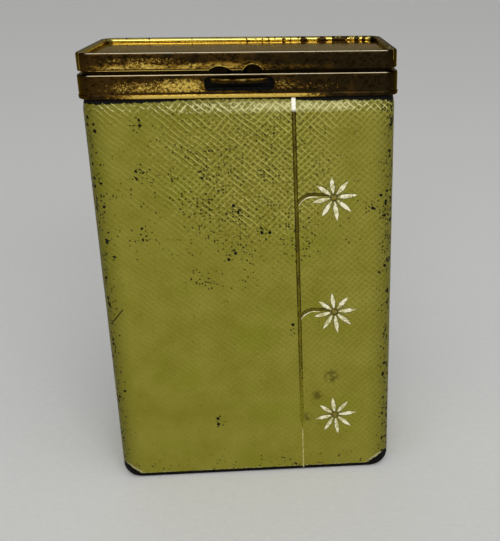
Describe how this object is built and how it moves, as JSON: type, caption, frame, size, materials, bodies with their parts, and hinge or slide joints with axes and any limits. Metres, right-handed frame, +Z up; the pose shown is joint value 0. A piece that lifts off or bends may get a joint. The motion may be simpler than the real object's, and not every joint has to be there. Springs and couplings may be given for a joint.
{
  "type": "hinged pocket case",
  "caption": "Upright flat box with a brass collar, a hinged recessed lid and a sprung thumb catch, wrapped in grained green leatherette with foil flowers.",
  "frame": {"origin": "centre of the flat base, on the surface that the case stands on", "axes": "+Z up along the height, -Y out of the front face with the thumb catch, X along the width"},
  "size_m": [0.0652, 0.0363, 0.0993],
  "materials": {
    "black_lacquer": "black lacquer, worn",
    "leatherette": "olive green cross-grain leatherette, bonded, flecked with wear",
    "lining_flock": "short flock on card, bonded",
    "brass": "polished, tarnished brown in places",
    "dark_brass": "dull, tarnished",
    "polished_brass": "mirror polished, lightly scratched",
    "gold_foil": "hot-stamped gold foil, rubbed",
    "silver_foil": "hot-stamped pale silver foil, rubbed",
    "spring_steel": "bright strip"
  },
  "bodies": {
    "case": {"base_plate": "black_lacquer", "core_box": "black_lacquer", "cover_wrap": "leatherette", "lining_wall": "lining_flock", "lining_base": "lining_flock", "collar": "brass", "neck": "dark_brass", "hinge_leaf_case": "brass", "hinge_pin": "dark_brass", "catch_spring": "spring_steel", "spring_rivets": "dark_brass", "stem_foil": "gold_foil", "petal_foils": "silver_foil", "centre_foils": "gold_foil"},
    "lid": {"lid_rim": "brass", "lid_panel": "polished_brass", "lid_lining": "lining_flock", "lid_keeper": "spring_steel", "hinge_leaf_lid": "brass"},
    "push_tab": {"thumb_tab": "brass", "catch_hook": "spring_steel"}
  },
  "joints": [
    {"name": "lid_hinge", "type": "hinge", "parent": "case", "child": "lid", "pos_m": [0, 0.0172, 0.09532], "axis": [-1, 0, 0], "range_deg": [0, 100]},
    {"name": "tab_press", "type": "slide", "parent": "case", "child": "push_tab", "axis": [0, 1, 0], "range_m": [0, 0.001], "stiffness_N_per_m": 500, "springref_m": -0.001, "deforming": ["catch_spring"]}
  ]
}
